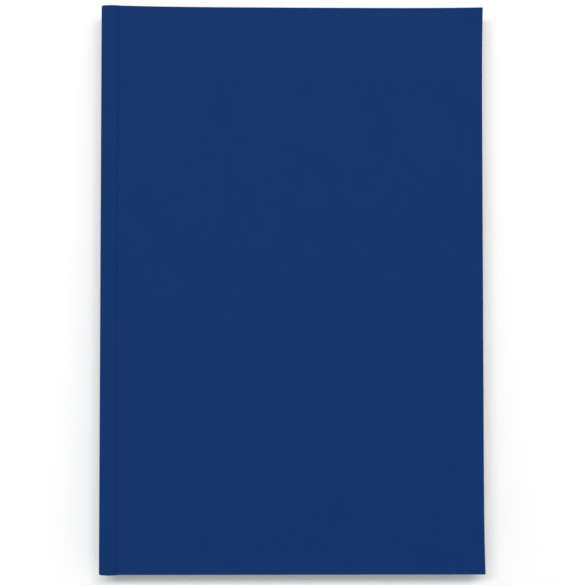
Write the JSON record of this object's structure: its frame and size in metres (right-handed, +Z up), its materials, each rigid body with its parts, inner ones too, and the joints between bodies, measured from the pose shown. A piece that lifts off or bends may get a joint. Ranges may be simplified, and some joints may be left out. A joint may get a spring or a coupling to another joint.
{
  "type": "pilot logbook",
  "caption": "Plain cloth-covered hardback flight logbook with sewn sections of ruled leaves; both covers swing open on cloth joints.",
  "frame": {"origin": "middle of the face that the shut book rests on, which is the back cover", "axes": "+X towards the fore edge, with the spine on -X; +Y towards the head, the top of a page; +Z up out of the front cover"},
  "size_m": [0.1586, 0.235, 0.0149],
  "materials": {
    "cover_cloth": "matt navy-blue bookcloth, fine plain weave",
    "grey_board": "dense grey binder's board",
    "endpaper": "smooth off-white cartridge paper",
    "ledger_paper": "smooth cream ledger paper, ruled",
    "mull": "open-weave starched cotton gauze",
    "kraft_liner": "ribbed kraft paper",
    "linen_thread": "waxed linen thread",
    "headband_weave": "blue and white woven band"
  },
  "bodies": {
    "text_block": {"section_1_fold": "ledger_paper", "section_2": "ledger_paper", "section_3": "ledger_paper", "section_4": "ledger_paper", "section_5": "ledger_paper", "section_6": "ledger_paper", "section_7": "ledger_paper", "section_8": "ledger_paper", "section_9": "ledger_paper", "sewing_thread": "linen_thread", "spine_mull": "mull", "spine_liner": "kraft_liner", "headband": "headband_weave", "tailband": "headband_weave", "spine_board": "grey_board", "spine_cloth": "cover_cloth", "front_joint_cloth": "cover_cloth", "back_joint_cloth": "cover_cloth", "front_joint_mull": "mull", "back_joint_mull": "mull", "front_joint_endpaper": "endpaper", "back_joint_endpaper": "endpaper"},
    "front_cover": {"front_board": "grey_board", "front_cover_cloth": "cover_cloth", "front_mull_flap": "mull", "front_pastedown": "endpaper"},
    "back_cover": {"back_board": "grey_board", "back_cover_cloth": "cover_cloth", "back_mull_flap": "mull", "back_pastedown": "endpaper"},
    "front_flyleaf": {"front_flyleaf": "endpaper"},
    "first_section": {"section_1_leaves": "ledger_paper"},
    "back_flyleaf": {"back_flyleaf": "endpaper"}
  },
  "joints": [
    {"name": "front_cover_hinge", "type": "hinge", "parent": "text_block", "child": "front_cover", "pos_m": [-0.07535, 0, 0.01312], "axis": [0, -1, 0], "range_deg": [0, 179.9], "deforming": ["front_joint_cloth", "front_joint_mull", "front_joint_endpaper"]},
    {"name": "front_flyleaf_turn", "type": "hinge", "parent": "text_block", "child": "front_flyleaf", "pos_m": [-0.07535, 0, 0.01312], "axis": [0, -1, 0], "range_deg": [0, 179]},
    {"name": "first_section_turn", "type": "hinge", "parent": "text_block", "child": "first_section", "pos_m": [-0.07535, 0, 0.01312], "axis": [0, -1, 0], "range_deg": [0, 176]},
    {"name": "back_cover_hinge", "type": "hinge", "parent": "text_block", "child": "back_cover", "pos_m": [-0.07535, 0, 0.0018], "axis": [0, 1, 0], "range_deg": [0, 179.9], "deforming": ["back_joint_cloth", "back_joint_mull", "back_joint_endpaper"]},
    {"name": "back_flyleaf_turn", "type": "hinge", "parent": "text_block", "child": "back_flyleaf", "pos_m": [-0.07535, 0, 0.0018], "axis": [0, 1, 0], "range_deg": [0, 180]}
  ],
  "couplings": [
    {"joint": "front_flyleaf_turn", "follows": "front_cover_hinge", "ratio": 0.99},
    {"joint": "first_section_turn", "follows": "front_cover_hinge", "ratio": 0.975},
    {"joint": "back_flyleaf_turn", "follows": "back_cover_hinge", "ratio": 1}
  ]
}
